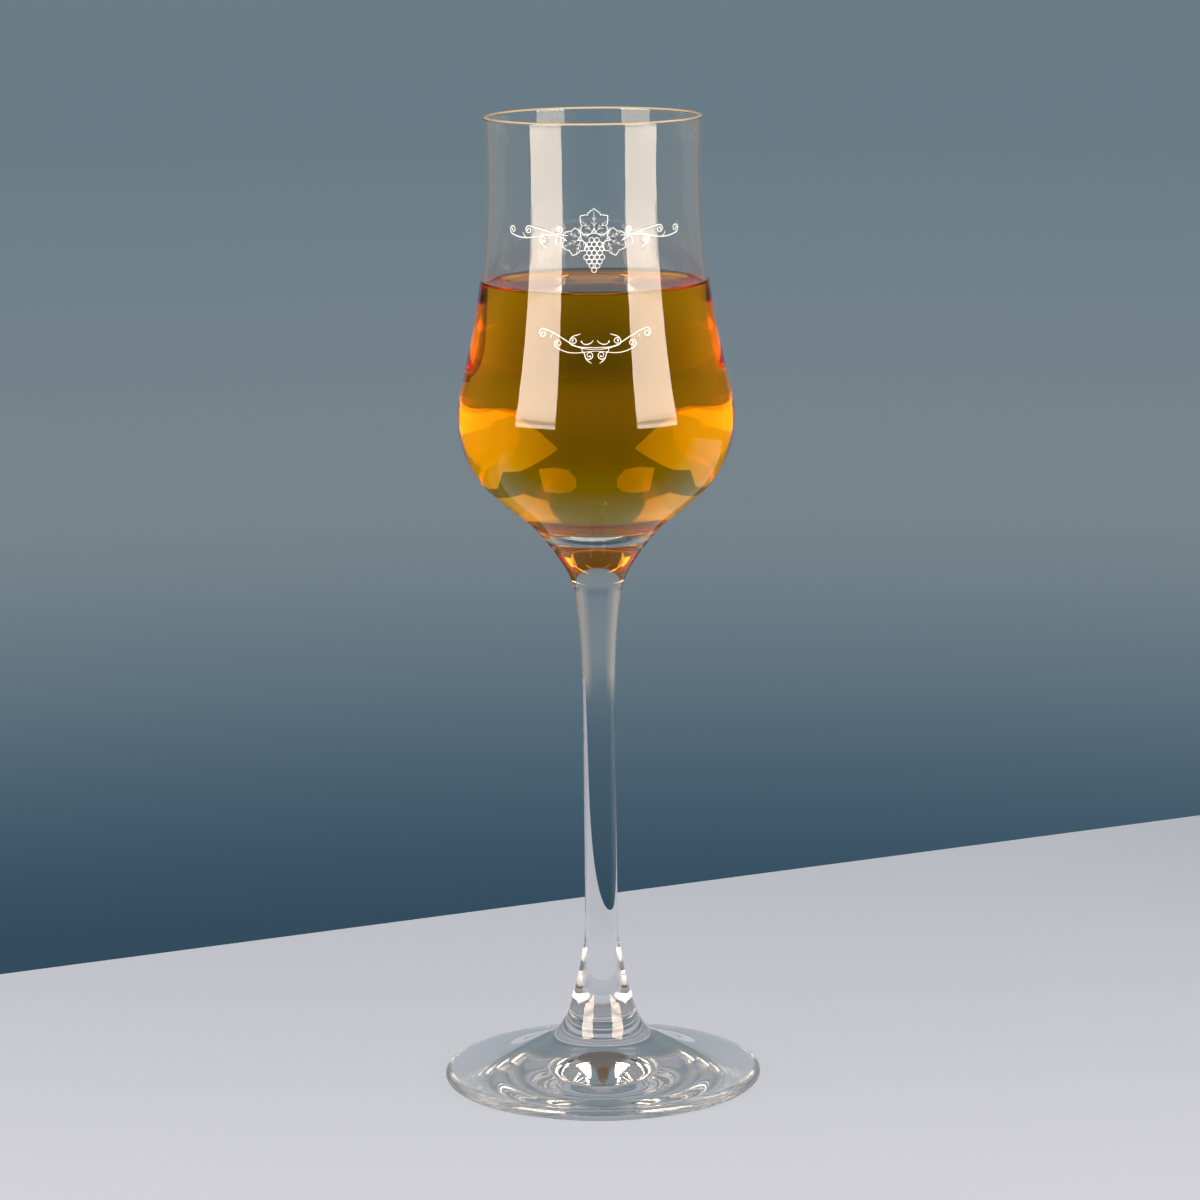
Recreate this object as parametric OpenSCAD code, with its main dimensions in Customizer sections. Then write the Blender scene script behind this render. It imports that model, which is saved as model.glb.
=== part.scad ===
// A long-stemmed grappa glass with a drink in it.
// Three pieces of clear glass are fused end to end: a foot with a boss, a drawn stem and a tulip bowl.
// The axis of the glass is Z, and the table is at z = 0.

/* [Foot] */
// Diameter of the foot
foot_d = 65.5; // [50:0.5:80]
// Thickness of the foot at its rounded edge
foot_edge_t = 2.6; // [1.6:0.1:4]
// Width of the rounding along the edge
foot_edge_w = 1.6; // [0.8:0.1:3]
// Height of the foot with its boss, up to the stem
foot_h = 22.7; // [17:0.1:30]
// Diameter of the boss at its base, where it spreads into the foot
boss_d = 21.9; // [15:0.1:30]
// Height of the boss's base above the table
boss_z = 9.1; // [6:0.1:12]
// Width of the flat ring that stands on the table
ring_w = 1.4; // [0.6:0.1:3]
// Height of the hollow under the foot
hollow_h = 2.6; // [0.5:0.1:4.5]

/* [Stem] */
// Length of the stem between its two fused ends
stem_l = 79.6; // [62:0.1:120]
// Diameter of the stem's even middle
stem_d = 6.7; // [5:0.1:8.5]
// Diameter of the fused end on the foot
stem_foot_d = 9.7; // [7.2:0.1:13]
// Diameter of the fused end under the bowl
stem_bowl_d = 9.3; // [7:0.1:13]
// Length over which the stem swells towards the foot
foot_swell_l = 13.8; // [6:0.1:24]
// Length over which the stem swells towards the bowl
bowl_swell_l = 45; // [20:0.5:60]

/* [Bowl] */
// Height of the bowl from the stem to the rim
bowl_h = 97.7; // [80:0.1:130]
// Outside diameter of the rim
rim_d = 44.1; // [36:0.1:56]
// Outside diameter of the narrow waist below the rim
waist_d = 43.6; // [34:0.1:54]
// Distance from the rim down to the waist
waist_drop = 10.9; // [6:0.1:24]
// Outside diameter of the belly
belly_d = 56.3; // [46:0.1:70]
// Height of the belly's widest place above the stem
belly_h = 37.6; // [28:0.1:50]
// Outside diameter of the ridge between the bowl's neck and its round part
ridge_d = 25.9; // [19:0.1:34]
// Height of the ridge above the stem
ridge_h = 14; // [10:0.1:20]
// Thickness of the wall
wall = 1.1; // [0.7:0.05:1.8]
// Distance from the ridge down to the bottom of the inside
well_drop = 0.6; // [-3:0.1:2]

/* [Drink] */
// Depth of the drink over the bottom of the inside
drink_depth = 50.3; // [20:0.1:64]
// Gap between the drink and the wall
drink_gap = 0.05; // [0.02:0.01:0.3]

/* [Hidden] */

glass_colour = [0.80, 0.87, 0.91, 0.45];
drink_colour = [0.82, 0.52, 0.04, 0.85];
$fn = 128;

// Straight pieces in each curve of an outline
steps = 24;

// Lean of the outline, outwards per millimetre of height, where two curves meet
boss_lean = -1.64;
foot_join_lean = -0.225;
bowl_join_lean = 0.129;
neck_lean = 0.843;
round_lean = 1.058;
// Fall of the foot's top at the boss, per millimetre outwards
plate_fall = 0.5;

// Pull of each curve's lower and upper end: the share of its height for which the outline keeps its lean
boss_pull = [0.15, 0.44];
foot_swell_pull = [0.4, 0.5];
bowl_swell_pull = [0.5, 0.3];
neck_pull = [0.36, 0.29];
round_pull = [0.25, 0.61];
shoulder_pull = [0.12, 0.59];
flare_pull = [0.48, 0.38];

// Curve under the foot: how far it stays level, and the place of its last bend, in shares of its width and height
hollow_level = 0.25;
hollow_bend = [0.5, 0];

// Curve of the foot's top: its pull at the edge and at the boss, in shares of its width
plate_edge_pull = [-0.45, 0.03];
plate_boss_pull = 0.35;

// Share of the round part, from the ridge up, under which the inside rounds off into its bottom
well_share = 0.25;
// Curve of that bottom: its pull at the axis and at the wall, in shares of its radius
well_axis_pull = 0.23;
well_wall_pull = 0.4;

foot_r = foot_d / 2;
ring_r = foot_r - foot_edge_w;
bowl_z = foot_h + stem_l;
well_h = ridge_h - well_drop;
drink_level = well_h + drink_depth;

// A Bezier curve from a to d
function bezier(a, b, c, d) =
    [for (i = [0:steps]) let (t = i / steps)
        a * (1 - t)^3 + 3 * b * t * (1 - t)^2 + 3 * c * t^2 * (1 - t) + d * t^3];

// A curve up from a to b. Each end keeps its lean for its pull, a share of the height between them.
function rise(a, b, lean_a, lean_b, pull) =
    let (h = b.y - a.y)
    bezier(a, a + h * pull[0] * [lean_a, 1], b - h * pull[1] * [lean_b, 1], b);

// A half turn from below outwards and up, in an ellipse's two radii
function half_turn(centre, rx, rz) =
    [for (i = [0:steps]) let (a = 180 * i / steps - 90) centre + [rx * cos(a), rz * sin(a)]];

// A round lip from the outside over the top to the inside
function lip(centre, r) = [for (i = [1:steps - 1]) centre + r * [cos(180 * i / steps), sin(180 * i / steps)]];

function without_first(points) = [for (i = [1:len(points) - 1]) points[i]];
function reversed(points) = [for (i = [len(points) - 1:-1:0]) points[i]];
function unit(v) = v / norm(v);

// The points of an upward outline, moved inwards by d
function inset(points, d) =
    [for (i = [0:len(points) - 1])
        let (along = unit(points[min(i + 1, len(points) - 1)] - points[max(i - 1, 0)]))
        points[i] + d * [-along.y, along.x]];

// The bowl's outside, from the stem up
ridge = [ridge_d / 2, ridge_h];
belly = [belly_d / 2, belly_h];
waist = [waist_d / 2, bowl_h - waist_drop];
lip_start = [rim_d / 2, bowl_h - wall / 2];
neck = rise([stem_bowl_d / 2, 0], ridge, bowl_join_lean, neck_lean, neck_pull);
round_part = rise(ridge, belly, round_lean, 0, round_pull);
shoulder = rise(belly, waist, 0, 0, shoulder_pull);
flare = rise(waist, lip_start, 0, 0, flare_pull);
walls = concat(round_part, without_first(shoulder), without_first(flare));

// The bowl's inside, from the axis up to the lip, gap inside the wall
function inside(gap) =
    let (side = inset([for (i = [round(well_share * steps):len(walls) - 1]) walls[i]], wall + gap),
         start = side[0],
         along = unit(side[1] - start),
         bottom = [0, well_h + gap])
    concat(bezier(bottom, bottom + [well_axis_pull * start.x, 0], start - well_wall_pull * start.x * along, start),
        without_first(side));

// Foot: a disc hollow underneath, with a rounded edge and a boss that rises to the stem
module foot() {
    hollow = bezier([0, hollow_h], [hollow_level * ring_r, hollow_h],
        [hollow_bend.x * ring_r, hollow_bend.y * hollow_h], [ring_r - ring_w, 0]);
    edge = half_turn([ring_r, foot_edge_t / 2], foot_edge_w, foot_edge_t / 2);
    base = [boss_d / 2, boss_z];
    edge_top = [ring_r, foot_edge_t];
    span = ring_r - base.x;
    plate = bezier(edge_top, edge_top + span * plate_edge_pull,
        base + plate_boss_pull * span * [1, -plate_fall], base);
    boss = rise(base, [stem_foot_d / 2, foot_h], boss_lean, foot_join_lean, boss_pull);
    color(glass_colour)
        rotate_extrude()
            polygon(concat(hollow, edge, without_first(plate), without_first(boss), [[0, foot_h]]));
}

// Stem: a solid drawn rod that swells to both of its fused ends
module stem() {
    foot_swell = rise([stem_foot_d / 2, 0], [stem_d / 2, foot_swell_l], foot_join_lean, 0, foot_swell_pull);
    bowl_swell = rise([stem_d / 2, stem_l - bowl_swell_l], [stem_bowl_d / 2, stem_l],
        0, bowl_join_lean, bowl_swell_pull);
    color(glass_colour)
        translate([0, 0, foot_h])
            rotate_extrude()
                polygon(concat([[0, 0]], foot_swell, bowl_swell, [[0, stem_l]]));
}

// Bowl: a solid neck, a ridge, a round belly, and a thin wall up to the waist and the rounded rim
module bowl() {
    rim = lip(lip_start - [wall / 2, 0], wall / 2);
    color(glass_colour)
        translate([0, 0, bowl_z])
            rotate_extrude()
                polygon(concat([[0, 0]], neck, without_first(walls), rim, reversed(inside(0))));
}

// Drink: fills the inside of the bowl up to its level
module drink() {
    wetted = inside(drink_gap);
    level_r = lookup(drink_level, [for (p = wetted) [p.y, p.x]]);
    color(drink_colour)
        translate([0, 0, bowl_z])
            rotate_extrude()
                polygon(concat([for (p = wetted) if (p.y < drink_level - drink_gap) p],
                    [[level_r, drink_level], [0, drink_level]]));
}

foot();
stem();
bowl();
drink();
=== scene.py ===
import math

import bpy
from mathutils import Matrix, Vector


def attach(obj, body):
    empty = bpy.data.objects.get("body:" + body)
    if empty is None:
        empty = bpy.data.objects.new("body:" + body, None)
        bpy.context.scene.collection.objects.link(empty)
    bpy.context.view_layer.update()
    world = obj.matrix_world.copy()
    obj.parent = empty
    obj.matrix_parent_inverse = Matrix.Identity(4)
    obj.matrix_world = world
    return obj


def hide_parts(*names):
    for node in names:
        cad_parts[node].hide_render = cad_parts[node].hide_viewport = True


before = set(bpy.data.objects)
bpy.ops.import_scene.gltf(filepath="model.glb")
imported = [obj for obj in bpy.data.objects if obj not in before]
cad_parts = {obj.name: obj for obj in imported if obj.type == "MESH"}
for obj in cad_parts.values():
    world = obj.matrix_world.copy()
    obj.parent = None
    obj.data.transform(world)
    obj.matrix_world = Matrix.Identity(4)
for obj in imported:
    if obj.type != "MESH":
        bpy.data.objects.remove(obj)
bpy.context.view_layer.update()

# Camera: the photograph's viewpoint, nearly a metre away and a little above the rim, with a long lens.
# The focal length is in pixels of the 1200-pixel frame, and the glass leans a touch in the picture.
MM = 0.001
FRAME_PX = 1200
FOCAL_PX = 4452
CAMERA_PLACE = Vector((0.4, -895, 269.5)) * MM
CAMERA_TILT = 10.66
CAMERA_ROLL = 0.6
bpy.ops.object.camera_add()
camera = bpy.context.object
camera.data.lens = camera.data.sensor_width * FOCAL_PX / FRAME_PX
camera.matrix_world = (
    Matrix.Translation(CAMERA_PLACE)
    @ Matrix.Rotation(math.radians(90 - CAMERA_TILT), 4, "X")
    @ Matrix.Rotation(math.radians(-CAMERA_ROLL), 4, "Z")
)
bpy.context.scene.camera = camera

# Foot: a pressed disc of clear glass, hollow under its middle, so that it stands on the ring at its edge.
# A boss is drawn up from its middle, and the stem is fused to the boss with a flame.
FOOT_R = 32.75
FOOT_EDGE_T = 2.6
FOOT_EDGE_W = 1.6
RING_W = 1.4
HOLLOW_H = 2.6
HOLLOW_LEVEL = 0.25
HOLLOW_BEND = 0.5
BOSS_BASE = Vector((10.95, 9.1))
BOSS_TOP = Vector((4.85, 22.7))
BOSS_LEAN = -1.64
BOSS_PULL = 0.15, 0.44
FOOT_JOIN_LEAN = -0.225
PLATE_FALL = 0.5
PLATE_EDGE_PULL = Vector((-0.45, 0.03))
PLATE_BOSS_PULL = 0.35
CURVE_STEPS = 36
TURN_STEPS = 256
MERGE = 0.002
CREASE = 25


def bezier(a, b, c, d):
    """Points on a curve from a to d, as (distance from the axis, height) in millimetres."""
    shares = [i / CURVE_STEPS for i in range(CURVE_STEPS + 1)]
    return [a * (1 - t) ** 3 + 3 * b * t * (1 - t) ** 2 + 3 * c * t**2 * (1 - t) + d * t**3 for t in shares]


def rise(a, b, lean_a, lean_b, pull):
    """A curve up from a to b. Each end keeps its lean for its pull, a share of the height between them."""
    height = b.y - a.y
    after_a = a + height * pull[0] * Vector((lean_a, 1))
    before_b = b - height * pull[1] * Vector((lean_b, 1))
    return bezier(a, after_a, before_b, b)


def half_turn(centre, across, up, start):
    """Half an ellipse round centre, from the angle start on, anticlockwise."""
    turns = [start + math.pi * i / CURVE_STEPS for i in range(CURVE_STEPS + 1)]
    return [centre + Vector((across * math.cos(a), up * math.sin(a))) for a in turns]


def turned(name, outline):
    """A round piece: its half outline is drawn point by point, from axis to axis, and spun about Z."""
    bpy.ops.object.select_all(action="DESELECT")
    bpy.ops.mesh.primitive_plane_add(size=MM)
    piece = bpy.context.object
    piece.name = name
    bpy.ops.object.mode_set(mode="EDIT")
    bpy.ops.mesh.merge(type="CENTER")
    at = Vector((0, 0))
    for i, point in enumerate(outline):
        step = (point - at) * MM
        if i == 0:
            bpy.ops.transform.translate(value=(step.x, 0, step.y))
        else:
            bpy.ops.mesh.extrude_region_move(TRANSFORM_OT_translate={"value": (step.x, 0, step.y)})
        at = point
    bpy.ops.mesh.select_all(action="SELECT")
    bpy.ops.mesh.spin(steps=TURN_STEPS, angle=math.tau, center=(0, 0, 0), axis=(0, 0, 1))
    bpy.ops.mesh.select_all(action="SELECT")
    bpy.ops.mesh.remove_doubles(threshold=MERGE * MM)
    bpy.ops.mesh.normals_make_consistent(inside=False)
    bpy.ops.object.mode_set(mode="OBJECT")
    bpy.ops.object.shade_smooth_by_angle(angle=math.radians(CREASE))
    return piece


def linear(hex_colour):
    """A colour written as sRGB hex, in the linear values that shaders take."""
    parts = [int(hex_colour[i : i + 2], 16) / 255 for i in (1, 3, 5)]
    return [c / 12.92 if c <= 0.04045 else ((c + 0.055) / 1.055) ** 2.4 for c in parts] + [1]


def add(tree, kind, settings=None, inputs=None):
    """A node with its settings, and its inputs as plain values or other nodes' outputs."""
    made = tree.nodes.new(kind)
    for key, value in (settings or {}).items():
        setattr(made, key, value)
    for key, value in (inputs or {}).items():
        if isinstance(value, bpy.types.NodeSocket):
            tree.links.new(value, made.inputs[key])
        else:
            made.inputs[key].default_value = value
    return made


def new_material(name):
    """An empty node material, its tree and its output node."""
    material = bpy.data.materials.new(name)
    material.use_nodes = True
    material.node_tree.nodes.clear()
    return material, material.node_tree, add(material.node_tree, "ShaderNodeOutputMaterial")


# Crystal glass, fire-polished: water-clear and smooth, so the eye sees only what it bends and reflects.
# Lamps shine through it without casting the dark shadow that a solid would.
GLASS_IOR = 1.51
GLASS_SHADOW = "#FAFBFB"


def crystal_glass(name, colour="#FFFFFF", specular_tint="#FFFFFF", clear_share=1, roughness=0):
    material, tree, out = new_material(name)
    glass = add(
        tree,
        "ShaderNodeBsdfPrincipled",
        inputs={
            "Base Color": linear(colour),
            "Roughness": roughness,
            "IOR": GLASS_IOR,
            "Transmission Weight": clear_share,
            "Specular Tint": linear(specular_tint),
        },
    )
    path = add(tree, "ShaderNodeLightPath")
    lamp_way = add(tree, "ShaderNodeBsdfTransparent", inputs={"Color": linear(GLASS_SHADOW)})
    both = add(
        tree,
        "ShaderNodeMixShader",
        inputs={0: path.outputs["Is Shadow Ray"], 1: glass.outputs[0], 2: lamp_way.outputs[0]},
    )
    tree.links.new(both.outputs[0], out.inputs["Surface"])
    return material


# Where two pieces are fused, the glass runs on with nothing between, so the meeting faces are clear.
FUSED_SLOT = 1
LEVEL = 0.999
AT_JOINT = 0.01


def fused_faces():
    material, tree, out = new_material("fused_glass")
    clear = add(tree, "ShaderNodeBsdfTransparent")
    tree.links.new(clear.outputs[0], out.inputs["Surface"])
    return material


def glaze(piece, *materials):
    """Gives a piece its materials. The soft light in the room passes through it, as the lamps' does."""
    for material in materials:
        piece.data.materials.append(material)
    piece.visible_diffuse = False


def fuse(piece, *heights):
    """Puts the fused faces' material on the flat discs of a piece at these heights, in millimetres."""
    for face in piece.data.polygons:
        if abs(face.normal.z) > LEVEL and any(abs(face.center.z / MM - h) < AT_JOINT for h in heights):
            face.material_index = FUSED_SLOT


clear_glass = crystal_glass("crystal_glass")
fused_glass = fused_faces()
ring_r = FOOT_R - FOOT_EDGE_W
plate_span = ring_r - BOSS_BASE.x
edge_top = Vector((ring_r, FOOT_EDGE_T))
hollow = bezier(
    Vector((0, HOLLOW_H)),
    Vector((HOLLOW_LEVEL * ring_r, HOLLOW_H)),
    Vector((HOLLOW_BEND * ring_r, 0)),
    Vector((ring_r - RING_W, 0)),
)
edge = half_turn(Vector((ring_r, FOOT_EDGE_T / 2)), FOOT_EDGE_W, FOOT_EDGE_T / 2, -math.pi / 2)
plate = bezier(
    edge_top,
    edge_top + plate_span * PLATE_EDGE_PULL,
    BOSS_BASE + PLATE_BOSS_PULL * plate_span * Vector((1, -PLATE_FALL)),
    BOSS_BASE,
)
boss = rise(BOSS_BASE, BOSS_TOP, BOSS_LEAN, FOOT_JOIN_LEAN, BOSS_PULL)
foot = turned("foot_glass", hollow + edge + plate[1:] + boss[1:] + [Vector((0, BOSS_TOP.y))])
glaze(foot, clear_glass, fused_glass)
fuse(foot, BOSS_TOP.y)
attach(foot, "root")
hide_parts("foot")

# Stem: a solid rod of the same glass, drawn out while hot, so it is thinnest and even in its middle.
# It swells to both ends, where the boss of the foot and the neck of the bowl are fused to it.
STEM_R = 3.35
STEM_TOP = Vector((4.65, 102.3))
FOOT_SWELL_L = 13.8
FOOT_SWELL_PULL = 0.4, 0.5
BOWL_SWELL_L = 45
BOWL_SWELL_PULL = 0.5, 0.3
BOWL_JOIN_LEAN = 0.129
even_low = Vector((STEM_R, BOSS_TOP.y + FOOT_SWELL_L))
even_high = Vector((STEM_R, STEM_TOP.y - BOWL_SWELL_L))
foot_swell = rise(BOSS_TOP, even_low, FOOT_JOIN_LEAN, 0, FOOT_SWELL_PULL)
bowl_swell = rise(even_high, STEM_TOP, 0, BOWL_JOIN_LEAN, BOWL_SWELL_PULL)
stem = turned(
    "stem_glass",
    [Vector((0, BOSS_TOP.y))] + foot_swell + bowl_swell + [Vector((0, STEM_TOP.y))],
)
glaze(stem, clear_glass, fused_glass)
fuse(stem, BOSS_TOP.y, STEM_TOP.y)
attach(stem, "root")
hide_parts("stem")

# Bowl: blown crystal, solid in its neck and thin above, with a ridge where the neck meets the round belly.
# Where the drink wets the wall, glass meets liquid and not air, and the wall hardly shines on the inside.
WALL = 1.1
RIM = Vector((22.05, 200))
WAIST = Vector((21.8, 189.1))
BELLY = Vector((28.15, 139.9))
RIDGE = Vector((12.95, 116.3))
NECK_LEAN = 0.843
NECK_PULL = 0.36, 0.29
ROUND_LEAN = 1.058
ROUND_PULL = 0.25, 0.61
SHOULDER_PULL = 0.12, 0.59
FLARE_PULL = 0.48, 0.38
WELL_Z = 115.7
WELL_SHARE = 0.25
WELL_AXIS_PULL = 0.23
WELL_WALL_PULL = 0.4
DRINK_Z = 166
MENISCUS_H = 1
MENISCUS_W = 2.5
CUT_CLEARANCE = 0.02
# The top band of the lip has a painted golden highlight, and LIP_CLEAR of it stays clear glass.
LIP_LINE = 0.3
LIP_CLEAR = 0.72
LIP_ROUGHNESS = 0.1
WET_SLOT, LIP_SLOT = 2, 3
FACES_UP = 0.9
UNDER_WELL = 0.1


def inset(points, depth):
    """The points of an upward outline, moved inwards by depth."""
    moved = []
    for i, point in enumerate(points):
        along = (points[min(i + 1, len(points) - 1)] - points[max(i - 1, 0)]).normalized()
        moved.append(point + depth * Vector((-along.y, along.x)))
    return moved


def inside(gap=0):
    """The bowl's inside from the axis up to the lip, gap within the wall."""
    side = inset(walls[round(WELL_SHARE * CURVE_STEPS) :], WALL + gap)
    along = (side[1] - side[0]).normalized()
    bottom = Vector((0, WELL_Z + gap))
    reach = side[0].x
    off_axis = bottom + Vector((WELL_AXIS_PULL * reach, 0))
    return bezier(bottom, off_axis, side[0] - WELL_WALL_PULL * reach * along, side[0]) + side[1:]


def at_height(points, height):
    """The point where an upward outline crosses a height."""
    for low, high in zip(points, points[1:]):
        if low.y <= height < high.y:
            return low.lerp(high, (height - low.y) / (high.y - low.y))


def up_to(points, height):
    """The part of an upward outline below a height, with its crossing point."""
    return [p for p in points if p.y < height - CUT_CLEARANCE] + [at_height(points, height)]


lip_start = RIM - Vector((0, WALL / 2))
neck = rise(STEM_TOP, RIDGE, BOWL_JOIN_LEAN, NECK_LEAN, NECK_PULL)
round_part = rise(RIDGE, BELLY, ROUND_LEAN, 0, ROUND_PULL)
shoulder = rise(BELLY, WAIST, 0, 0, SHOULDER_PULL)
flare = rise(WAIST, lip_start, 0, 0, FLARE_PULL)
walls = round_part + shoulder[1:] + flare[1:]
lip = half_turn(lip_start - Vector((WALL / 2, 0)), WALL / 2, WALL / 2, 0)
wet_line = DRINK_Z + MENISCUS_H
wall_inside = up_to(inside(), wet_line) + [p for p in inside() if p.y > wet_line + CUT_CLEARANCE]
bowl = turned(
    "bowl_glass",
    [Vector((0, STEM_TOP.y))] + neck + walls[1:] + lip[1:-1] + wall_inside[::-1],
)
wet_glass = crystal_glass("crystal_glass_wetted", specular_tint="#000000")

# The lip is cut and melted round again. Its fine pale golden line, where the glass gathers the light, is a
# painted
# highlight: the lip's faces are partly a warm pale matt colour instead of clear glass.
lip_glass_painted_glint = crystal_glass(
    "crystal_glass_lip_painted_glint",
    colour="#FFEFCB",
    clear_share=LIP_CLEAR,
    roughness=LIP_ROUGHNESS,
)
glaze(bowl, clear_glass, fused_glass, wet_glass, lip_glass_painted_glint)
fuse(bowl, STEM_TOP.y)
for face in bowl.data.polygons:
    height = face.center.z / MM
    to_axis = face.normal.x * face.center.x + face.normal.y * face.center.y < 0
    # The top of the lip gets the painted golden highlight.
    if height > RIM.y - LIP_LINE:
        face.material_index = LIP_SLOT
    elif (to_axis or face.normal.z > FACES_UP) and WELL_Z - UNDER_WELL < height < wet_line:
        face.material_index = WET_SLOT
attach(bowl, "root")
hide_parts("bowl")

# Engraving: an old vine ornament ground into the front of the bowl, with grapes and three leaves between
# tendrils, and a flourish further down. It is a mere bloom on the glass, drawn as if the wall lay flat.
SCROLL_W = 0.22
SCROLL_TIP = 0.55
SCROLL_PULL = 0.42
SCROLL_SHRINK = 0.72
TENDRIL_W = 0.18
SPRIG_TIP = 0.5
SPRIG_PULL = 0.4
BALL_R = 0.09
LEAF_LINE_W = 0.14
LEAF_MIDDLE = 0.45
VEIN_W = 0.11
VEIN_TIP = 0.6
VEINS = [(0, 1.4), (46, 1.16), (-46, 1.16), (100, 0.85), (-100, 0.85)]
FORKS = 0.35, 0.6
FORK_ANGLE = 38
FORK_L = 0.34
FORK_REACH = 1.2
BUNCH_TOP = 177.2
BUNCH_ROWS = 2, 3, 4, 3, 4, 3, 2, 1
BERRY_R = 0.5
BERRY_R_VARIES = 0.04
BERRY_LINE_W = 0.12
BERRY_PITCH = 1.05
BERRY_ROW_H = 0.84
BERRY_SWAY = 0.09
RING_STEPS = 12
BLOOM_LIFT = 0.004
BLOOM_LAYER = 0.0001
BLOOM_T = 0.008
CLOSED = 0.001
GRAIN = 0.12
FROST = 0.35
FROST_ROUGHNESS = 0.9
# Half of a leaf's outline, from its tip round to its base: degrees from the tip, distance from the middle
LEAF_HALF = [
    (0, 1.14), (7, 1), (11, 1.04), (18, 0.92), (23, 0.95), (31, 0.8), (38, 0.94), (43, 0.93),
    (49, 1.04), (55, 1.1), (60, 0.97), (66, 1), (72, 0.88), (78, 0.9), (88, 0.74), (96, 0.85),
    (102, 0.84), (110, 0.97), (117, 0.86), (124, 0.88), (133, 0.74), (142, 0.72), (158, 0.5), (180, 0.14),
]
strokes = []


def towards(degrees, length):
    """A step of this length at an angle."""
    return Vector((length * math.cos(math.radians(degrees)), length * math.sin(math.radians(degrees))))


def stroke(path, width, end_share=1):
    """A line along a path, which narrows to a share of its width at both ends."""
    strokes.append((path, width, end_share))


def ring(centre, radius, width):
    """A closed round line."""
    stroke([centre + towards(360 / RING_STEPS * i, radius) for i in range(RING_STEPS + 1)], width)


def scroll(start, heading, eye, radius, entry, turns, width=SCROLL_W):
    """A tendril from start, along heading, that joins a spiral at the angle entry and winds in to a ball.

    Angles are in degrees, and negative turns wind clockwise.
    """
    meet = eye + towards(entry, radius)
    pull = SCROLL_PULL * (meet - start).length
    along = towards(entry + math.copysign(90, turns), pull)
    path = bezier(start, start + towards(heading, pull), meet - along, meet)
    for i in range(1, CURVE_STEPS + 1):
        share = i / CURVE_STEPS
        path.append(eye + towards(entry + 360 * turns * share, radius * (1 - SCROLL_SHRINK * share)))
    stroke(path, width, SCROLL_TIP)
    ring(path[-1], BALL_R, 2 * BALL_R)


def sprig(start, heading, tip, tip_heading):
    """A short bare tendril."""
    pull = SPRIG_PULL * (tip - start).length
    path = bezier(start, start + towards(heading, pull), tip - towards(tip_heading, pull), tip)
    stroke(path, TENDRIL_W, SPRIG_TIP)


def leaf(base, size, turn):
    """A vine leaf with five toothed lobes, veined from its base. It points in the direction turn."""
    middle = base + towards(turn, LEAF_MIDDLE * size)
    halves = LEAF_HALF + [(-angle, reach) for angle, reach in LEAF_HALF[::-1]]
    stroke([middle + towards(turn + angle, reach * size) for angle, reach in halves], LEAF_LINE_W)
    for angle, reach in VEINS:
        tip = base + towards(turn + angle, reach * size)
        stroke([base, tip], VEIN_W, VEIN_TIP)
        for share in FORKS:
            fork = base.lerp(tip, share)
            length = FORK_L * size * (FORK_REACH - share)
            for side in (-FORK_ANGLE, FORK_ANGLE):
                stroke([fork, fork + towards(turn + angle + side, length)], VEIN_W, VEIN_TIP)


def mirrored(drawn):
    """Draws strokes again on the other side of the middle."""
    for path, width, end_share in drawn:
        stroke([Vector((-p.x, p.y)) for p in path], width, end_share)


def on_bowl(point, lift):
    """The place on the front of the bowl of a point of the flat drawing."""
    radius = at_height(walls, point.y).x + lift
    turn = point.x / radius
    return Vector((radius * math.sin(turn), -radius * math.cos(turn), point.y)) * MM


scroll(Vector((-5.2, 178.0)), 168, Vector((-17.9, 178.8)), 0.9, 250, -1.25)
scroll(Vector((-5.4, 177.0)), 150, Vector((-13.8, 178.9)), 0.8, 80, 1.3)
scroll(Vector((-8.2, 178.2)), 200, Vector((-10.5, 177.2)), 0.8, 170, 1.35, TENDRIL_W)
scroll(Vector((-8.4, 177.9)), 30, Vector((-7.0, 179.2)), 0.65, 0, 1.2, TENDRIL_W)
sprig(Vector((-11.1, 176.6)), 315, Vector((-9.6, 175.5)), 330)
sprig(Vector((-14.4, 177.5)), 165, Vector((-15.2, 178.4)), 105)
sprig(Vector((-7.3, 177.8)), 230, Vector((-7.5, 176.2)), 300)
leaf(Vector((-2.5, 177.5)), 2.7, 204)
mirrored(strokes[:])
leaf(Vector((0, 178.5)), 3.1, 90)
for row, count in enumerate(BUNCH_ROWS):
    for i in range(count):
        sway = BERRY_SWAY * math.sin(7 * row + 3 * i)
        centre = Vector(((i - (count - 1) / 2) * BERRY_PITCH + sway, BUNCH_TOP - BERRY_ROW_H * row))
        ring(centre, BERRY_R + BERRY_R_VARIES * math.sin(5 * row + 11 * i), BERRY_LINE_W)
flourish = len(strokes)
scroll(Vector((0, 156.0)), 186, Vector((-10.6, 158.9)), 0.9, 75, 1.3)
scroll(Vector((0, 155.6)), 184, Vector((-7.4, 157.0)), 0.85, 240, -1.3, TENDRIL_W)
scroll(Vector((0, 156.3)), 180, Vector((-4.3, 157.5)), 0.85, 255, -1.35, TENDRIL_W)
scroll(Vector((-2.6, 156.1)), 240, Vector((-1.2, 154.8)), 0.9, 180, 1.35, TENDRIL_W)
sprig(Vector((-4.9, 158.1)), 40, Vector((-2.9, 158.9)), 20)
sprig(Vector((-2.0, 154.3)), 300, Vector((-0.8, 153.2)), 320)
sprig(Vector((-2.7, 157.4)), 290, Vector((-0.4, 157.7)), 70)
sprig(Vector((-8.5, 159.0)), 230, Vector((-9.1, 157.9)), 250)
ring(Vector((-2.7, 157.4)), BALL_R, 2 * BALL_R)
mirrored(strokes[flourish:])

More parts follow.
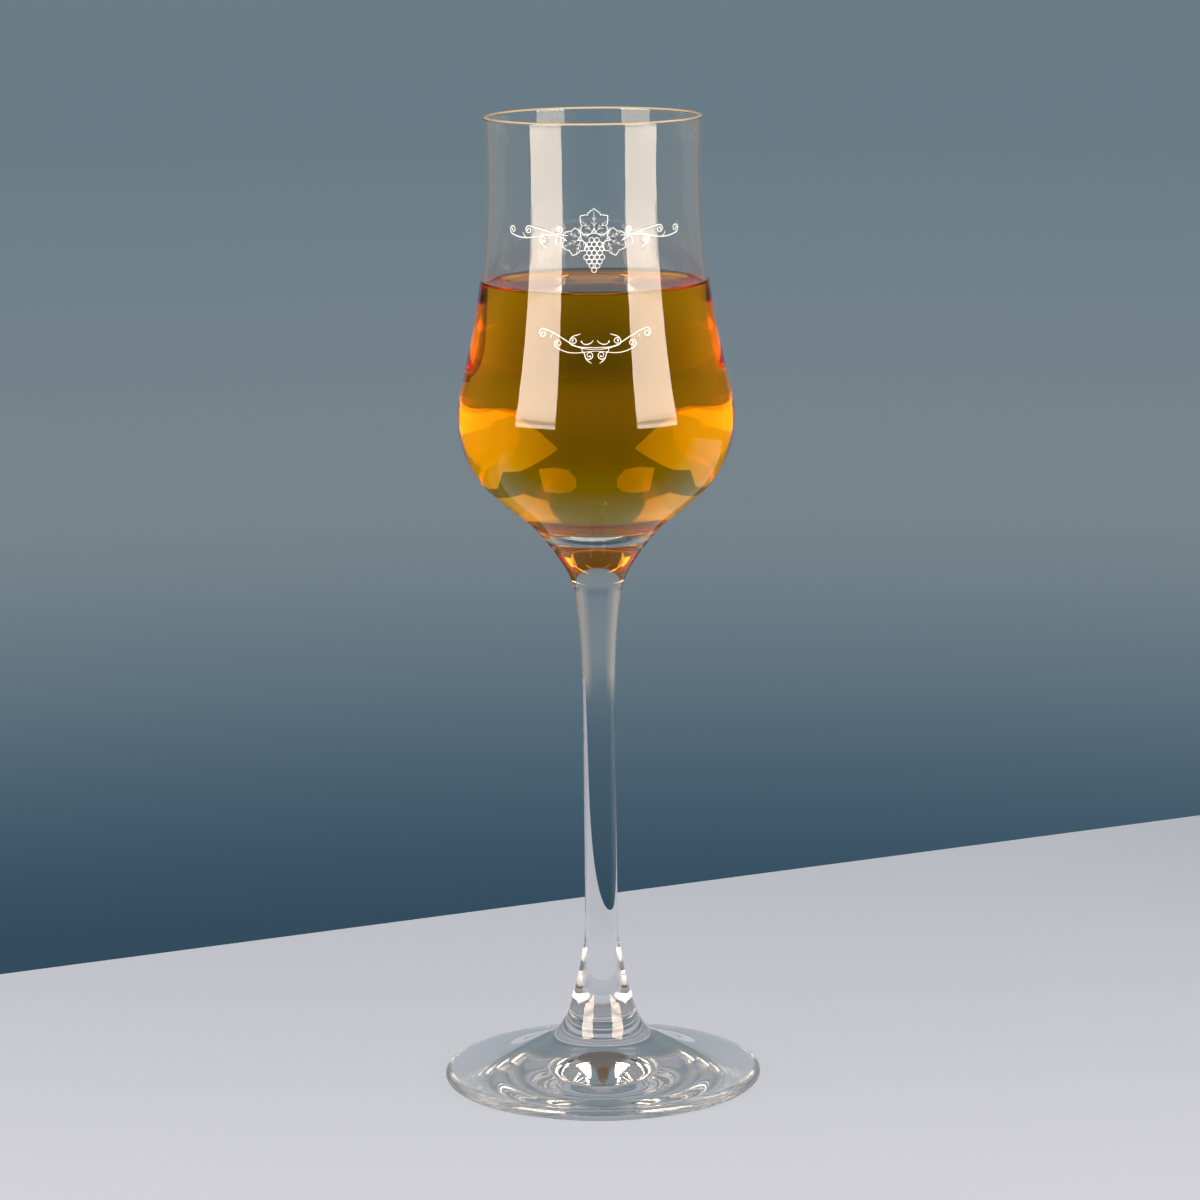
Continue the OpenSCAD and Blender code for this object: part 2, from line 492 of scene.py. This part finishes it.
# Each stroke is a strip of faces laid on the round wall, which no operator draws.
# Later strokes lie a hair higher.
corners, faces = [], []
for layer, (path, width, end_share) in enumerate(strokes):
    last = len(path) - 1
    closed = (path[0] - path[-1]).length < CLOSED
    for i, point in enumerate(path):
        before = path[i - 1] if i else path[-2 if closed else 0]
        after = path[i + 1] if i < last else path[1 if closed else -1]
        across = (after - before).orthogonal().normalized()
        half = width / 2 * (end_share + (1 - end_share) * math.sin(math.pi * i / last))
        for side in (half, -half):
            corners.append(on_bowl(point + side * across, BLOOM_LIFT + BLOOM_LAYER * layer))
        if i:
            n = len(corners)
            faces.append((n - 4, n - 3, n - 1, n - 2))
drawing = bpy.data.meshes.new("bowl_engraving")
drawing.from_pydata(corners, [], faces)
bpy.ops.object.select_all(action="DESELECT")
engraving = bpy.data.objects.new("bowl_engraving", drawing)
bpy.context.collection.objects.link(engraving)
bpy.context.view_layer.objects.active = engraving
engraving.select_set(True)
bpy.ops.object.modifier_add(type="SOLIDIFY")
engraving.modifiers[0].thickness = BLOOM_T * MM
engraving.modifiers[0].offset = 1
bpy.ops.object.modifier_apply(modifier=engraving.modifiers[0].name)

# Frosted crystal: the ground lines are rough and scatter light, so they are white, grainy and half clear.
frosted, tree, out = new_material("frosted_crystal")
where = add(tree, "ShaderNodeTexCoord")
grain = add(
    tree,
    "ShaderNodeTexNoise",
    inputs={"Vector": where.outputs["Object"], "Scale": 1 / (GRAIN * MM)},
)
white = add(
    tree,
    "ShaderNodeMix",
    {"data_type": "RGBA"},
    {"Factor": grain.outputs[0], "A": linear("#D3DEEA"), "B": linear("#FFFFFF")},
)
ground = add(
    tree,
    "ShaderNodeBsdfPrincipled",
    inputs={"Base Color": white.outputs["Result"], "Roughness": FROST_ROUGHNESS, "Alpha": FROST},
)
tree.links.new(ground.outputs[0], out.inputs["Surface"])
glaze(engraving, frosted)
engraving.visible_shadow = False
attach(engraving, "root")

# Drink: grappa aged in wood, a clear amber spirit, poured in to just above the shoulder of the bowl.
# It creeps up the wall in a narrow meniscus, and reaches a hair into the wall so that no air shows between.
DRINK_IOR = 1.36
# Red, green and blue light that the drink takes up per metre
DRINK_TAKES = 1.4, 19.6, 350
OVERLAP = 0.04
wetted = up_to(inside(-OVERLAP), wet_line)
reach = wetted[-1].x
surface = []
for i in range(CURVE_STEPS + 1):
    share = i / CURVE_STEPS
    surface.append(Vector((reach - MENISCUS_W * share**2, DRINK_Z + MENISCUS_H * (1 - share) ** 2)))
drink = turned("drink", wetted + surface[1:] + [Vector((0, DRINK_Z))])

# Amber spirit: the eye sees straight through it, golden where it is thin and brown where it is deep.
amber, tree, out = new_material("amber_spirit")
liquid = add(
    tree,
    "ShaderNodeBsdfPrincipled",
    inputs={
        "Base Color": linear("#FFFFFF"),
        "Roughness": 0,
        "IOR": DRINK_IOR,
        "Transmission Weight": 1,
        "Specular Tint": linear("#000000"),
    },
)
path = add(tree, "ShaderNodeLightPath")
lamp_way = add(tree, "ShaderNodeBsdfTransparent")
both = add(
    tree,
    "ShaderNodeMixShader",
    inputs={0: path.outputs["Is Shadow Ray"], 1: liquid.outputs[0], 2: lamp_way.outputs[0]},
)
density = max(DRINK_TAKES)
left_over = [1 - taken / density for taken in DRINK_TAKES] + [1]
body = add(tree, "ShaderNodeVolumeAbsorption", inputs={"Color": left_over, "Density": density})
tree.links.new(both.outputs[0], out.inputs["Surface"])
tree.links.new(body.outputs[0], out.inputs["Volume"])
glaze(drink, amber)
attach(drink, "root")
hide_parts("drink")

# Floor: a plain pale table top, matt paint on a board. Its back edge runs askew a little behind the glass.
# Painted shade: the glass mirrors its near part as black. Seen through the drink, its part behind the glass
# is darkened by a painted shadow.
FLOOR_W, FLOOR_L = 1000, 700
FLOOR_BACK = 136
FLOOR_TURN = 26
FLOOR_Z = -0.05
FLOOR_ROUGHNESS = 0.8
# Painted shade: what the glass mirrors of the table's near part is black, fading out over this span
MIRRORED_SHADE_FADE = 60
# Painted shadow behind the glass, seen only through the drink: where it starts, where it is full, its share
# of black
DRINK_SHADOW_START, DRINK_SHADOW_FULL = 30, 60
DRINK_SHADOW_SHARE = 0.85
# A ray that has passed this many faces of glass has been through the drink
PAST_DRINK = 5
bpy.ops.object.select_all(action="DESELECT")
bpy.ops.mesh.primitive_plane_add(size=MM, location=(0, (FLOOR_BACK - FLOOR_L / 2) * MM, FLOOR_Z * MM))
floor = bpy.context.object
floor.name = "floor"
floor.scale = (FLOOR_W, FLOOR_L, 1)
bpy.ops.object.transform_apply(location=True, scale=True)
floor.rotation_euler.z = math.radians(FLOOR_TURN)
bpy.ops.object.transform_apply(rotation=True)
pale, tree, out = new_material("pale_table")
paint = add(
    tree,
    "ShaderNodeBsdfPrincipled",
    inputs={"Base Color": linear("#D2E0F5"), "Roughness": FLOOR_ROUGHNESS, "Specular IOR Level": 0},
)
where = add(tree, "ShaderNodeTexCoord")
place = add(tree, "ShaderNodeSeparateXYZ", inputs={0: where.outputs["Object"]})
# Painted shade: the share of black for rays the glass has mirrored and that have not passed the drink
near = add(
    tree,
    "ShaderNodeMapRange",
    inputs={
        "Value": place.outputs["Y"],
        "From Min": -MIRRORED_SHADE_FADE * MM,
        "From Max": MIRRORED_SHADE_FADE * MM,
        "To Min": 1,
        "To Max": 0,
    },
)
path = add(tree, "ShaderNodeLightPath")
through_glass = add(
    tree,
    "ShaderNodeMath",
    {"operation": "LESS_THAN"},
    {0: path.outputs["Transmission Depth"], 1: PAST_DRINK},
)
mirrored_once = add(
    tree,
    "ShaderNodeMath",
    {"operation": "MINIMUM"},
    {0: path.outputs["Glossy Depth"], 1: 1},
)
mirrored_near = add(
    tree,
    "ShaderNodeMath",
    {"operation": "MULTIPLY"},
    {0: near.outputs[0], 1: mirrored_once.outputs[0]},
)
mirrored_shade = add(
    tree,
    "ShaderNodeMath",
    {"operation": "MULTIPLY"},
    {0: mirrored_near.outputs[0], 1: through_glass.outputs[0]},
)
# Painted shadow: the table behind the glass turns darker for rays that have passed through the drink.
behind = add(
    tree,
    "ShaderNodeMapRange",
    inputs={
        "Value": place.outputs["Y"],
        "From Min": DRINK_SHADOW_START * MM,
        "From Max": DRINK_SHADOW_FULL * MM,
        "To Min": 0,
        "To Max": DRINK_SHADOW_SHARE,
    },
)
through_drink = add(tree, "ShaderNodeMath", {"operation": "SUBTRACT"}, {0: 1, 1: through_glass.outputs[0]})
dimmed = add(
    tree,
    "ShaderNodeMath",
    {"operation": "MULTIPLY"},
    {0: behind.outputs[0], 1: through_drink.outputs[0]},
)
# The painted shade and the painted shadow turn the paint black by their share.
painted_shade = add(
    tree,
    "ShaderNodeMath",
    {"operation": "MAXIMUM"},
    {0: mirrored_shade.outputs[0], 1: dimmed.outputs[0]},
)
dark = add(tree, "ShaderNodeEmission", inputs={"Strength": 0})
both = add(
    tree,
    "ShaderNodeMixShader",
    inputs={0: painted_shade.outputs[0], 1: paint.outputs[0], 2: dark.outputs[0]},
)
tree.links.new(both.outputs[0], out.inputs["Surface"])
floor.data.materials.append(pale)

# Light: two tall soft boxes in front, which the bowl reflects as two upright strips. Each is stacked from
# parts that light only the glass, dimmed by how many faces a ray has passed, so that several walls don't
# add up to white. A larger pair further off lights only the table, and is dimmer low down.
LAMP_COLOUR = "#FFE7CE"
LAMP_AZIMUTH = 50.5
EVEN = [(0, 1), (700, 1)]
TALL_FADE = [(217, 1), (345, 1), (355, 0.75)]
TABLE_FADE = [(120, 0.22), (330, 0.22), (360, 0.27), (422, 0.42), (434, 1)]
# Distance, width, lower and upper edge, brightness, faces passed, shares before and after, fade by height
GLASS_LAMPS = [
    (450, 287, 115, 160, 13.5, 1, 1, 0, EVEN),
    (450, 287, 160, 192, 7.4, 3, 1, 0, EVEN),
    (450, 287, 192, 217, 13.5, 1, 1, 0, EVEN),
    (448, 286, 190, 217, 12, 7, 0, 1, EVEN),
    (450, 287, 217, 700, 16, 8, 1, 0.18, TALL_FADE),
]
TABLE_LAMP = 900, 574, 120, 700, 16, 8, 1, 1, TABLE_FADE


def soft_box(azimuth, distance, width, low, high, brightness, passed, before, after, fade):
    """An upright lamp facing the glass. Azimuth counts from the camera's side, positive to the right."""
    bpy.ops.object.light_add(type="AREA")
    lamp = bpy.context.object
    lamp.data.shape = "RECTANGLE"
    lamp.data.size = width * MM
    lamp.data.size_y = (high - low) * MM
    lamp.data.color = linear(LAMP_COLOUR)[:3]
    lamp.data.energy = brightness * math.pi * lamp.data.size * lamp.data.size_y
    turn = math.radians(azimuth)
    lamp.location = Vector((math.sin(turn) * distance, -math.cos(turn) * distance, (low + high) / 2)) * MM
    lamp.rotation_euler = (math.radians(90), 0, turn)
    lamp.visible_camera = False
    lamp.data.use_nodes = True
    tree = lamp.data.node_tree
    tree.nodes.clear()
    place = add(tree, "ShaderNodeNewGeometry")
    up = add(tree, "ShaderNodeSeparateXYZ", inputs={0: place.outputs["Parametric"]})
    ramp = add(tree, "ShaderNodeValToRGB", inputs={0: up.outputs["Y"]})
    while len(ramp.color_ramp.elements) < len(fade):
        ramp.color_ramp.elements.new(0.5)
    for stop, (z, share) in zip(ramp.color_ramp.elements, fade):
        stop.position = (z - low) / (high - low)
        stop.color = (share, share, share, 1)
    path = add(tree, "ShaderNodeLightPath")
    by_depth = add(
        tree,
        "ShaderNodeMapRange",
        inputs={
            "Value": path.outputs["Transmission Depth"],
            "From Min": passed - 1,
            "From Max": passed,
            "To Min": before,
            "To Max": after,
        },
    )
    strength = add(
        tree,
        "ShaderNodeMath",
        {"operation": "MULTIPLY"},
        {0: ramp.outputs[0], 1: by_depth.outputs[0]},
    )
    glow = add(tree, "ShaderNodeEmission", inputs={"Strength": strength.outputs[0]})
    out = add(tree, "ShaderNodeOutputLight")
    tree.links.new(glow.outputs[0], out.inputs["Surface"])
    return lamp


on_table = bpy.data.collections.new("on_table")
on_table.objects.link(floor)
not_on_table = bpy.data.collections.new("not_on_table")
not_on_table.objects.link(floor)
not_on_table.collection_objects[0].light_linking.link_state = "EXCLUDE"
for side in (-1, 1):
    for sizes in GLASS_LAMPS:
        lamp = soft_box(side * LAMP_AZIMUTH, *sizes)
        lamp.light_linking.receiver_collection = not_on_table
    lamp = soft_box(side * LAMP_AZIMUTH, *TABLE_LAMP)
    lamp.light_linking.receiver_collection = on_table

# Cards: white cards hung left and right behind the glass, out of the picture, to make the drink glow.
# They are cut to wedges, and only what has passed through the drink shows them.
CARD_R = 950
CARD_Z = 140
CARD_INNER, CARD_OUTER = 110, 360
CARD_INNER_GLOW, CARD_OUTER_GLOW = 0.4, 0.72
# Outlines as angles seen from the drink: degrees sideways, and degrees up to the lower and upper edge
CARDS = [
    [
        (8, -0.5, 0), (11, -3.3, 2.5), (15, -6.5, 5.5), (19, -8.5, 8),
        (26, -9, 10), (33, -8, 19), (45, -7, 24), (60, -6, 26),
    ],
    [(4.5, 8, 11), (6, 5.5, 13), (9, 5, 14), (13, 6, 14)],
    [(13, 18, 34), (20, 17, 38), (40, 27, 45), (60, 30, 50)],
]
card, tree, out = new_material("white_card")
card.cycles.emission_sampling = "NONE"
where = add(tree, "ShaderNodeTexCoord")
place = add(tree, "ShaderNodeSeparateXYZ", inputs={0: where.outputs["Object"]})
across = add(tree, "ShaderNodeMath", {"operation": "ABSOLUTE"}, {0: place.outputs["X"]})
lit = add(
    tree,
    "ShaderNodeMapRange",
    inputs={
        "Value": across.outputs[0],
        "From Min": CARD_INNER * MM,
        "From Max": CARD_OUTER * MM,
        "To Min": CARD_INNER_GLOW,
        "To Max": CARD_OUTER_GLOW,
    },
)
path = add(tree, "ShaderNodeLightPath")
shown = add(
    tree,
    "ShaderNodeMath",
    {"operation": "GREATER_THAN"},
    {0: path.outputs["Transmission Depth"], 1: PAST_DRINK - 0.5},
)
glow = add(tree, "ShaderNodeEmission", inputs={"Color": linear("#FDFFF2"), "Strength": lit.outputs[0]})
clear = add(tree, "ShaderNodeBsdfTransparent")
both = add(
    tree,
    "ShaderNodeMixShader",
    inputs={0: shown.outputs[0], 1: clear.outputs[0], 2: glow.outputs[0]},
)
tree.links.new(both.outputs[0], out.inputs["Surface"])
corners, faces = [], []
for side in (-1, 1):
    for outline in CARDS:
        for i, (azimuth, low, high) in enumerate(outline):
            turn = math.radians(azimuth)
            for elevation in (low, high):
                height = CARD_Z + CARD_R * math.tan(math.radians(elevation))
                corner = Vector((side * CARD_R * math.sin(turn), CARD_R * math.cos(turn), height))
                corners.append(corner * MM)
            if i:
                n = len(corners)
                faces.append((n - 4, n - 3, n - 1, n - 2))
mesh = bpy.data.meshes.new("white_cards")
mesh.from_pydata(corners, [], faces)
cards = bpy.data.objects.new("white_cards", mesh)
bpy.context.collection.objects.link(cards)
mesh.materials.append(card)
cards.visible_camera = False
cards.visible_diffuse = False
cards.visible_shadow = False

# Backdrop: a round screen of slate-blue paper that glows by itself. It is palest a little below the table
# top, dark towards its foot, and warm pale grey at its sides, which lie nearer the middle past the drink.
# Its top is plain, and what reflects its front and sides shows hardly any of them.
SCREEN_R = 1000
SCREEN_LOW, SCREEN_HIGH = -450, 1150
SCREEN_STEPS = 256
SCREEN_STOPS = [
    (-230, "#2F4757"),
    (-160, "#466072"),
    (-92, "#6C7D86"),
    (-40, "#7C878E"),
    (80, "#6C7E88"),
    (150, "#657984"),
    (400, "#78858D"),
    (1100, "#6E7A82"),
]
SIDES_START, SIDES_START_PAST_DRINK, SIDES_FULL = 260, 80, 620
SIDES_LOW, SIDES_HIGH = -125, -85
TOP_START, TOP_FULL = 200, 330
REFLECTED_NONE, REFLECTED_FULL = 850, 940
UNREFLECTED_SHARE = 0.9
bpy.ops.object.select_all(action="DESELECT")
bpy.ops.mesh.primitive_cylinder_add(
    vertices=SCREEN_STEPS,
    radius=SCREEN_R * MM,
    depth=(SCREEN_HIGH - SCREEN_LOW) * MM,
    end_fill_type="NOTHING",
    location=(0, 0, (SCREEN_LOW + SCREEN_HIGH) / 2 * MM),
)
screen = bpy.context.object
screen.name = "screen"
bpy.ops.object.transform_apply(location=True)
bpy.ops.object.shade_smooth()
screen.visible_diffuse = False
screen.visible_shadow = False
paper, tree, out = new_material("slate_paper")
paper.cycles.emission_sampling = "NONE"
where = add(tree, "ShaderNodeTexCoord")
place = add(tree, "ShaderNodeSeparateXYZ", inputs={0: where.outputs["Object"]})
height = add(
    tree,
    "ShaderNodeMapRange",
    inputs={"Value": place.outputs["Z"], "From Min": SCREEN_LOW * MM, "From Max": SCREEN_HIGH * MM},
)
ramp = add(tree, "ShaderNodeValToRGB", inputs={0: height.outputs[0]})
ramp.color_ramp.interpolation = "B_SPLINE"
while len(ramp.color_ramp.elements) < len(SCREEN_STOPS):
    ramp.color_ramp.elements.new(0.5)
for stop, (z, colour) in zip(ramp.color_ramp.elements, SCREEN_STOPS):
    stop.position = (z - SCREEN_LOW) / (SCREEN_HIGH - SCREEN_LOW)
    stop.color = linear(colour)
across = add(tree, "ShaderNodeMath", {"operation": "ABSOLUTE"}, {0: place.outputs["X"]})
path = add(tree, "ShaderNodeLightPath")
past_drink = add(
    tree,
    "ShaderNodeMapRange",
    inputs={
        "Value": path.outputs["Transmission Depth"],
        "From Min": PAST_DRINK - 1,
        "From Max": PAST_DRINK,
    },
)
sides_start = add(
    tree,
    "ShaderNodeMapRange",
    inputs={
        "Value": past_drink.outputs[0],
        "To Min": SIDES_START * MM,
        "To Max": SIDES_START_PAST_DRINK * MM,
    },
)
aside = add(
    tree,
    "ShaderNodeMapRange",
    inputs={"Value": across.outputs[0], "From Min": sides_start.outputs[0], "From Max": SIDES_FULL * MM},
)
above_foot = add(
    tree,
    "ShaderNodeMapRange",
    inputs={"Value": place.outputs["Z"], "From Min": SIDES_LOW * MM, "From Max": SIDES_HIGH * MM},
)
pale_height = add(
    tree,
    "ShaderNodeMath",
    {"operation": "MAXIMUM"},
    {0: above_foot.outputs[0], 1: past_drink.outputs[0]},
)
sides = add(
    tree,
    "ShaderNodeMath",
    {"operation": "MULTIPLY"},
    {0: aside.outputs[0], 1: pale_height.outputs[0]},
)
with_sides = add(
    tree,
    "ShaderNodeMix",
    {"data_type": "RGBA"},
    {"Factor": sides.outputs[0], "A": ramp.outputs[0], "B": linear("#A09D96")},
)
top = add(
    tree,
    "ShaderNodeMapRange",
    inputs={"Value": place.outputs["Z"], "From Min": TOP_START * MM, "From Max": TOP_FULL * MM},
)
top_colour = add(
    tree,
    "ShaderNodeMix",
    {"data_type": "RGBA"},
    {"Factor": past_drink.outputs[0], "A": linear("#7E8A90"), "B": linear("#74908C")},
)
colour = add(
    tree,
    "ShaderNodeMix",
    {"data_type": "RGBA"},
    {"Factor": top.outputs[0], "A": with_sides.outputs["Result"], "B": top_colour.outputs["Result"]},
)
front = add(
    tree,
    "ShaderNodeMapRange",
    inputs={
        "Value": place.outputs["Y"],
        "From Min": REFLECTED_NONE * MM,
        "From Max": REFLECTED_FULL * MM,
        "To Min": UNREFLECTED_SHARE,
        "To Max": 0,
    },
)
hidden = add(
    tree,
    "ShaderNodeMath",
    {"operation": "MULTIPLY"},
    {0: front.outputs[0], 1: path.outputs["Is Reflection Ray"]},
)
shown = add(tree, "ShaderNodeMath", {"operation": "SUBTRACT"}, {0: 1, 1: hidden.outputs[0]})
glow = add(
    tree,
    "ShaderNodeEmission",
    inputs={"Color": colour.outputs["Result"], "Strength": shown.outputs[0]},
)
tree.links.new(glow.outputs[0], out.inputs["Surface"])
screen.data.materials.append(paper)

# Room: plain grey light from all round for what is matt. The glass sees a dark grey ceiling over the screen.
AMBIENT = 0.6
world = bpy.data.worlds.new("room")
bpy.context.scene.world = world
world.use_nodes = True
tree = world.node_tree
tree.nodes.clear()
out = add(tree, "ShaderNodeOutputWorld")
ceiling = add(tree, "ShaderNodeBackground", inputs={"Color": linear("#6A6560")})
ambient = add(tree, "ShaderNodeBackground", inputs={"Color": linear("#9AA3AD"), "Strength": AMBIENT})
path = add(tree, "ShaderNodeLightPath")
both = add(
    tree,
    "ShaderNodeMixShader",
    inputs={0: path.outputs["Is Diffuse Ray"], 1: ceiling.outputs[0], 2: ambient.outputs[0]},
)
tree.links.new(both.outputs[0], out.inputs["Surface"])

# Light runs round inside the drink and the foot many times before it leaves, so it may turn very often.
MAX_TURNS = 96
MAX_MIRRORINGS = 64
scene = bpy.context.scene
scene.view_settings.view_transform = "Standard"
scene.cycles.max_bounces = MAX_TURNS
scene.cycles.transmission_bounces = MAX_TURNS
scene.cycles.glossy_bounces = MAX_MIRRORINGS
scene.cycles.transparent_max_bounces = MAX_TURNS
scene.cycles.caustics_reflective = False
scene.cycles.caustics_refractive = False
